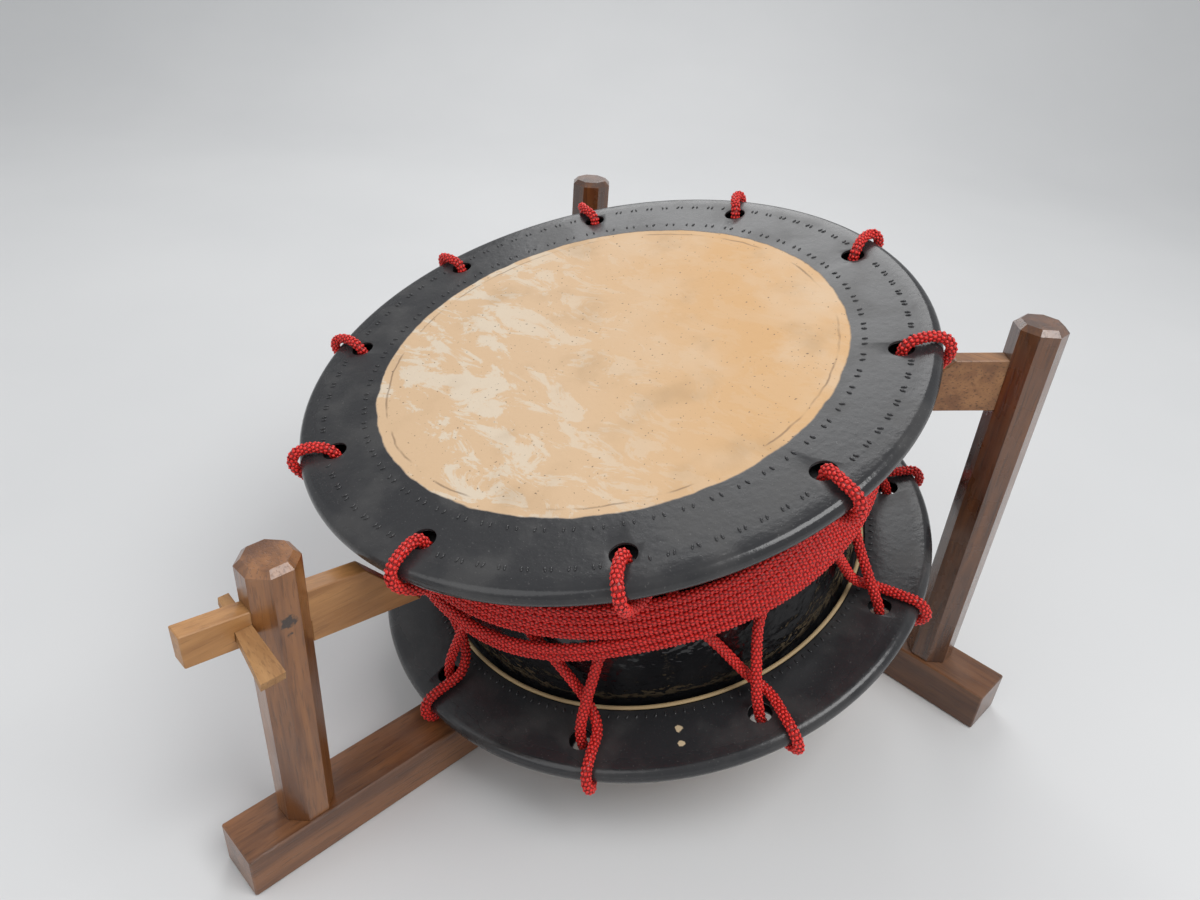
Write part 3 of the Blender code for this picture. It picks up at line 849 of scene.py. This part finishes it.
def braid_tree(finish: bpy.types.Material, around_count: int) -> bpy.types.NodeTree:
    """Builds the tree that lays rings of slanted stitches round a core along a curve.

    Args:
        finish: The cord's material.
        around_count: How many stitches stand round the cord.

    Returns:
        The tree, with inputs Radius and Pitch.
    """
    nodes, given = geometry_tree("braid", {"Radius": 0.003, "Pitch": 0.002})
    radius = given.outputs["Radius"]
    pitch = given.outputs["Pitch"]
    path = given.outputs[0]
    core_radius = nodes.times(radius, CORE_SHARE)
    section = nodes.add(
        "GeometryNodeCurvePrimitiveCircle", {"Resolution": 10, "Radius": core_radius}
    )
    core_path = nodes.add(
        "GeometryNodeResampleCurve", {"Curve": path, "Length": CORE_STEP}, mode="LENGTH"
    )
    core = nodes.add(
        "GeometryNodeCurveToMesh",
        {"Curve": core_path.outputs[0], "Profile Curve": section.outputs[0], "Fill Caps": True},
    ).outputs[0]
    points = nodes.add(
        "GeometryNodeCurveToPoints", {"Curve": path, "Length": pitch}, mode="LENGTH"
    )
    grain = nodes.add(
        "GeometryNodeMeshUVSphere", {"Radius": 1.0, "Segments": 5, "Rings": 2}
    ).outputs[0]
    # 'rise' runs from -1 facing the core to 1 facing out; the cord's material paints shade where
    # it is low
    place = nodes.add("GeometryNodeInputPosition").outputs[0]
    outward = nodes.add("ShaderNodeSeparateXYZ", {0: place}).outputs[0]
    grain = nodes.add(
        "GeometryNodeStoreNamedAttribute",
        {"Geometry": grain, "Name": "rise", "Value": outward},
        data_type="FLOAT",
    ).outputs[0]
    squeeze = nodes.add(
        "ShaderNodeCombineXYZ",
        {
            0: nodes.times(radius, GRAIN_THICKNESS),
            1: nodes.times(radius, GRAIN_WIDTH),
            2: nodes.times(pitch, GRAIN_LENGTH),
        },
    ).outputs[0]
    seats = nodes.add(
        "GeometryNodeMeshCircle",
        {"Vertices": around_count, "Radius": nodes.times(radius, SEAT_SHARE)},
    ).outputs[0]
    index = nodes.add("GeometryNodeInputIndex").outputs[0]
    share = nodes.times(index, 2 * math.pi / around_count)
    other_way = nodes.math("SUBTRACT", nodes.math("MODULO", index, 2.0), 0.5)
    lean = nodes.times(other_way, GRAIN_LEAN)
    tilt = nodes.add("ShaderNodeCombineXYZ", {0: lean, 2: share}).outputs[0]
    ring = nodes.add(
        "GeometryNodeInstanceOnPoints",
        {"Points": seats, "Instance": grain, "Rotation": tilt, "Scale": squeeze},
    ).outputs[0]
    rows = nodes.add(
        "GeometryNodeInstanceOnPoints",
        {"Points": points.outputs[0], "Instance": ring, "Rotation": points.outputs["Rotation"]},
    ).outputs[0]
    row_index = nodes.add("GeometryNodeInputIndex").outputs[0]
    half_step = nodes.times(nodes.math("MODULO", row_index, 2.0), math.pi / around_count)
    spin = nodes.add("ShaderNodeCombineXYZ", {2: half_step}).outputs[0]
    turned = nodes.add("GeometryNodeRotateInstances", {0: rows, 2: spin}).outputs[0]
    both = nodes.add("GeometryNodeJoinGeometry")
    nodes.tree.links.new(core, both.inputs[0])
    nodes.tree.links.new(turned, both.inputs[0])
    return end_tree(nodes, both.outputs[0], finish)


def smooth_path(points: list[Vector], steps: int) -> list[Vector]:
    """Draws a Catmull-Rom curve.

    Args:
        points: The points that it goes through.
        steps: How many samples a stretch has.

    Returns:
        The samples.
    """
    path = []
    for i in range(len(points) - 1):
        before, after = points[max(i - 1, 0)], points[min(i + 2, len(points) - 1)]
        here, there = points[i], points[i + 1]
        for k in range(steps):
            t = k / steps
            bend = (2 * before - 5 * here + 4 * there - after) * t * t
            twist = (3 * here - before - 3 * there + after) * t**3
            path.append(0.5 * (2 * here + (there - before) * t + bend + twist))
    return path + [points[-1]]


def lacing_points() -> list[Vector]:
    """Draws the lacing's route: out of a lower hole, up, over the upper rim and down.

    Returns:
        Its control points in the drum's frame.
    """
    over = LACE_RADIUS + GAP
    foot = -DRUM_HEIGHT
    rim = HEAD_RADIUS + over
    waist = LACE_WAIST_RADIUS
    points = []
    for i in range(HOLE_COUNT):
        low = LOWER_HOLE_AZIMUTH + 36.0 * (i + 2)
        high = low + 18.0
        skew = LOOP_SKEW[(i + 2) % HOLE_COUNT]
        points += [
            around(low, 0.1550, foot + 0.0030),
            around(low, 0.1540, foot + 0.0110),
            around(low + 0.8, 0.1495, foot + 0.0230),
            around(low + 5.2, waist + 0.0002, foot + 0.0520),
            around(low + 8.6, waist, -0.0800),
            around(low + 10.8, waist, -0.0560),
            around(low + 13.0, waist + 0.0003, -0.0410),
            around(high - 1.6, 0.1500, -0.0190),
            around(high, 0.1545, -0.0060),
            around(high, 0.1570, 0.0018),
            around(high + 0.6 * skew, 0.1640, over + 0.0008),
            around(high + skew, 0.1712, over + 0.0003),
            around(high + skew, 0.1764, 0.0014),
            around(high + skew, rim + 0.0003, -0.0052),
            around(high + skew + 0.3, 0.1735, -0.0145),
            around(high + 1.5 + 0.5 * skew, 0.1590, -0.0270),
            around(high + 4.4, waist + 0.0003, -0.0415),
            around(high + 7.2, waist, -0.0560),
            around(high + 10.0, waist, -0.0800),
            around(high + 14.0, waist, foot + 0.0510),
            around(high + 18.6, 0.1395, foot + 0.0240),
            around(high + 21.4, 0.1500, foot + 0.0146),
            around(high + 21.2, 0.1640, foot + 0.0136),
            around(high + 21.0, 0.1745, foot + 0.0120),
            around(high + 21.0, rim + 0.0003, foot + 0.0046),
            around(high + 21.0, 0.1764, foot - 0.0013),
            around(high + 20.6, 0.1715, foot - over - 0.0004),
            around(high + 19.6, 0.1645, foot - over - 0.0007),
            around(high + 18.6, 0.1588, foot - 0.0034),
        ]
    return points


def waist_points() -> list[Vector]:
    """Draws a winding of six turns, whose lowest ones hang down at the front.

    Returns:
        Its control points in the drum's frame.
    """
    points = []
    for i in range(WAIST_TURNS * WAIST_TURN_POINTS + 1):
        turns = i / WAIST_TURN_POINTS
        azimuth = WAIST_START_AZIMUTH + 360.0 * turns
        height = WAIST_TOP - WAIST_PITCH * (turns - 0.5)
        if turns > SAG_FROM_TURN:
            off = (azimuth - SAG_AZIMUTH + 180.0) % 360.0 - 180.0
            if abs(off) < SAG_HALF_WIDTH:
                height -= SAG_DROP * 0.5 * (1 + math.cos(math.pi * off / SAG_HALF_WIDTH))
        points.append(around(azimuth, WAIST_RADIUS, height))
    return points


@dataclass
class Rope:
    """A braided rope along a route in the drum's frame."""

    name: str
    node: str
    route: list[Vector]
    radius: float
    pitch: float
    finish: bpy.types.Material
    around_count: int = 7

    def build(self) -> None:
        """Makes the braid and replaces the rope's CAD node."""
        curve = bpy.data.curves.new(self.name, "CURVE")
        curve.dimensions = "3D"
        spline = curve.splines.new("POLY")
        spline.points.add(len(self.route) - 1)
        for slot, point in zip(spline.points, self.route):
            slot.co = (*point, 1.0)
        item = bpy.data.objects.new(self.name, curve)
        bpy.context.scene.collection.objects.link(item)
        modifier = item.modifiers.new("braid", "NODES")
        modifier.node_group = braid_tree(self.finish, self.around_count)
        set_input(modifier, "Radius", self.radius)
        set_input(modifier, "Pitch", self.pitch)
        rope = bake(item, drum_matrix())
        smooth(rope, 80.0)
        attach(rope, "drum")
        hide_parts(self.node)
        LOG.info("%s: %d faces", self.name, len(rope.data.polygons))


@dataclass
class Drum:
    """The drum: barrel, heads, raw hide edges and ropes."""

    body_finish: bpy.types.Material
    upper_finish: bpy.types.Material
    lower_finish: bpy.types.Material
    stitch_finish: bpy.types.Material
    raw_finish: bpy.types.Material
    cord_finish: bpy.types.Material
    segments: int = 240

    def build(self) -> None:
        """Makes every piece that rides on the drum."""
        self.build_body()
        Head("upper", 1, UPPER_HOLE_AZIMUTH, self.upper_finish, self.stitch_finish).build()
        Head("lower", -1, LOWER_HOLE_AZIMUTH, self.lower_finish, self.stitch_finish).build()
        self.build_raw_edge()
        ropes = (
            ("waist_winding", "waist_rope", waist_points(), WAIST_ROPE_RADIUS),
            ("lacing", "lacing_rope", lacing_points(), LACE_RADIUS),
        )
        for name, node, points, radius in ropes:
            route = smooth_path(points, ROUTE_STEPS)
            fullness = radius + BRAID_FULLNESS
            Rope(name, node, route, fullness, BRAID_PITCH, self.cord_finish).build()

    def build_body(self) -> None:
        """Makes the smooth barrel and replaces the CAD one."""
        top = -SKIN - GAP
        bottom = -DRUM_HEIGHT + SKIN + GAP
        profile = []
        steps = 24
        for i in range(steps + 1):
            part = i / steps
            bulge = 1 - (2 * part - 1) ** 2
            radius = BODY_END_RADIUS + (BODY_MID_RADIUS - BODY_END_RADIUS) * bulge
            profile.append((radius, top + (bottom - top) * part))
        inside = BODY_END_RADIUS - BODY_WALL
        profile += [(inside, bottom), (inside - 0.002, (top + bottom) / 2), (inside, top)]
        body = bake(revolved("barrel", profile, self.segments, closed=True), drum_matrix())
        smooth(body)
        dress(body, self.body_finish)
        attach(body, "drum")
        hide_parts("drum_body")
        LOG.info("barrel: %d faces", len(body.data.polygons))

    def build_raw_edge(self) -> None:
        """Makes the thin unlacquered hide line where the lower head's flap meets the barrel."""
        level = -DRUM_HEIGHT + 2 * ROLL_RADIUS - 0.0004
        made = bmesh.new()
        sides = 8
        rings = []
        for i in range(self.segments):
            azimuth = 360.0 * i / self.segments
            turn = math.radians(azimuth)
            wave = 0.0004 * math.sin(7 * turn) + 0.0003 * math.sin(17 * turn)
            row = []
            for k in range(sides):
                lap = 2 * math.pi * k / sides
                radius = RAW_EDGE_RADIUS + wave * 0.5 + RAW_EDGE_HALF_WIDTH * math.cos(lap)
                height = level + wave + RAW_EDGE_HALF_HEIGHT * math.sin(lap)
                row.append(made.verts.new(around(azimuth, radius, height)))
            rings.append(row)
        for first, second in zip(rings, rings[1:] + rings[:1]):
            for k in range(sides):
                m = (k + 1) % sides
                made.faces.new((first[k], first[m], second[m], second[k]))
        bmesh.ops.recalc_face_normals(made, faces=made.faces[:])
        mesh = bpy.data.meshes.new("raw_hide_edge")
        made.to_mesh(mesh)
        made.free()
        mesh.transform(drum_matrix())
        item = bpy.data.objects.new("raw_hide_edge", mesh)
        bpy.context.scene.collection.objects.link(item)
        smooth(item, 80.0)
        dress(item, self.raw_finish)
        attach(item, "drum")
        LOG.info("raw edge: %d faces", len(mesh.polygons))


@dataclass
class Stand:
    """The stand: its CAD nodes stay, each with its own wood."""

    finishes: dict[str, Wood] = field(default_factory=dict)

    def build(self, wear: bpy.types.ShaderNodeTree) -> None:
        """Gives each node of the stand its wood.

        Args:
            wear: The group of dust and blotches.
        """
        for node, wood in self.finishes.items():
            item = bpy.data.objects[node]
            for slot in item.material_slots:
                slot.material = wood.material(wear)
            LOG.info("%s: %s", node, wood.name)


def build_studio() -> None:
    """Sets the floor, the backdrop, the lights and the camera."""
    paper, nodes, shader = new_material("studio_paper")
    where = nodes.add("ShaderNodeTexCoord").outputs["Object"]
    patch = nodes.noise(where, 3.0, 3.0)
    tone = nodes.mix(patch, rgba((0.64, 0.645, 0.65)), rgba((0.72, 0.72, 0.72)))
    nodes.tree.links.new(tone, shader.inputs["Base Color"])
    shader.inputs["Roughness"].default_value = 0.8
    shape = bmesh.new()
    half = 3.0
    bend = arc((1.2, 0.9), 0.9, -90, 0, 12)
    rows = [(-half, 0.0)] + bend + [(2.1, 3.0)]
    strips = [[shape.verts.new((x, y, z)) for y, z in rows] for x in (-half, half)]
    for i in range(len(rows) - 1):
        near, far = strips
        shape.faces.new((near[i], far[i], far[i + 1], near[i + 1]))
    mesh = bpy.data.meshes.new("studio_sweep")
    shape.to_mesh(mesh)
    shape.free()
    mesh.transform(Matrix.Translation((0, 0, -0.0002)) @ Matrix.Rotation(math.radians(43), 4, "Z"))
    mesh.shade_smooth()
    sweep = bpy.data.objects.new("studio_sweep", mesh)
    bpy.context.scene.collection.objects.link(sweep)
    dress(sweep, paper)

    lights = (
        ("key", (0.9, 0.1, 1.5), 14.0, 0.9),
        ("window", (-0.9, 0.9, 1.3), 9.0, 1.0),
        ("fill", (-0.3, -1.3, 1.1), 5.0, 1.2),
    )
    for name, spot, power, size in lights:
        light = bpy.data.lights.new(name, "AREA")
        light.energy = power
        light.size = size
        item = bpy.data.objects.new(name, light)
        item.location = spot
        towards = Vector((0, 0.03, 0.15)) - Vector(spot)
        item.rotation_euler = towards.to_track_quat("-Z", "Y").to_euler()
        bpy.context.scene.collection.objects.link(item)
    world = bpy.data.worlds.new("soft_room")
    world.use_nodes = True
    world.node_tree.nodes["Background"].inputs[0].default_value = rgba((0.80, 0.82, 0.84))
    world.node_tree.nodes["Background"].inputs[1].default_value = 0.62
    bpy.context.scene.world = world

    camera = bpy.data.cameras.new("photo_camera")
    camera.sensor_width = SENSOR_MM
    camera.lens = SENSOR_MM * CAMERA_FOCAL_PX / PHOTO_WIDTH_PX
    camera.clip_start = 0.01
    item = bpy.data.objects.new("photo_camera", camera)
    back = -CAMERA_FORWARD.normalized()
    right = CAMERA_UP.cross(back).normalized()
    turn = Matrix((right, back.cross(right), back)).transposed().to_4x4()
    item.matrix_world = Matrix.Translation(CAMERA_SPOT) @ turn
    bpy.context.scene.collection.objects.link(item)
    bpy.context.scene.camera = item
    bpy.context.scene.view_settings.view_transform = "Standard"


def main() -> None:
    """Builds the studio, the stand and the drum."""
    build_studio()
    wear = wear_group()
    knot = Spot((0.0150, -0.1893, 0.1630), 0.0042, (0.035, 0.016, 0.008))
    crack = Spot((0.0150, -0.1893, 0.1560), 0.0022, (0.045, 0.020, 0.009))
    base = Wood(
        "base_wood_grain_y", (0.25, 0.100, 0.034), (0.105, 0.038, 0.013), Grain.Y,
        roughness=0.36, coat=0.45,
    )
    cross = Wood(
        "base_wood_grain_x", (0.19, 0.078, 0.030), (0.085, 0.032, 0.013), Grain.X,
        roughness=0.36, coat=0.45,
    )
    post_front = Wood(
        "front_post_wood", (0.30, 0.120, 0.034), (0.125, 0.043, 0.012), Grain.Z,
        roughness=0.28, coat=0.7, spots=(knot, crack),
    )
    post = Wood(
        "rear_post_wood", (0.17, 0.062, 0.018), (0.058, 0.020, 0.007), Grain.Z,
        roughness=0.24, coat=0.9,
    )
    tan = Wood(
        "front_arm_wood", (0.51, 0.255, 0.088), (0.33, 0.148, 0.046), Grain.Y,
        roughness=0.45, coat=0.15, pores=0.2,
    )
    oak = Wood(
        "rear_arm_wood", (0.38, 0.180, 0.068), (0.20, 0.085, 0.032), Grain.X,
        roughness=0.45, coat=0.2, pores=0.6,
    )
    wedge = Wood(
        "wedge_pale_wood", (0.50, 0.27, 0.105), (0.32, 0.155, 0.055), Grain.X,
        roughness=0.55, coat=0.0, pores=0.3,
    )
    chips = (
        Spot((0.1149, -0.0964, 0.0), 0.0021, CHIP),
        Spot((0.1218, -0.1022, 0.0), 0.0018, CHIP),
    )
    Stand(
        {
            "base_stem": base,
            "base_cross": cross,
            "post_front": post_front,
            "post_right": post,
            "post_left": post,
            "arm_front": tan,
            "arm_right": oak,
            "arm_left": oak,
            "arm_wedge": wedge,
        }
    ).build(wear)
    iron = Lacquer(
        "forged_iron", (0.10, 0.09, 0.085), 0.55, wave=0.8, dust=0.2, metallic=1.0
    ).material(wear)
    for node in ("ring_upper", "ring_lower"):
        for slot in bpy.data.objects[node].material_slots:
            slot.material = iron
    gloss = Lacquer("black_gloss_lacquer", (0.007, 0.007, 0.008), 0.08, wave=4.5, dust=0.02)
    thread = Lacquer("stitch_lacquer", (0.028, 0.028, 0.030), 0.22, wave=0.3, dust=0.05)
    raw = Lacquer("raw_hide", (0.46, 0.33, 0.17), 0.6, wave=0.5, dust=0.1)
    Drum(
        body_finish=gloss.material(wear),
        upper_finish=Hide("upper_hide", 0.1299).material(wear),
        lower_finish=Hide("lower_hide", 0.1299, spots=chips).material(wear),
        stitch_finish=thread.material(wear),
        raw_finish=raw.material(wear),
        cord_finish=Cord("red_braid", (0.86, 0.026, 0.018), (0.62, 0.014, 0.010)).material(),
    ).build()


if __name__ == "__main__":
    main()
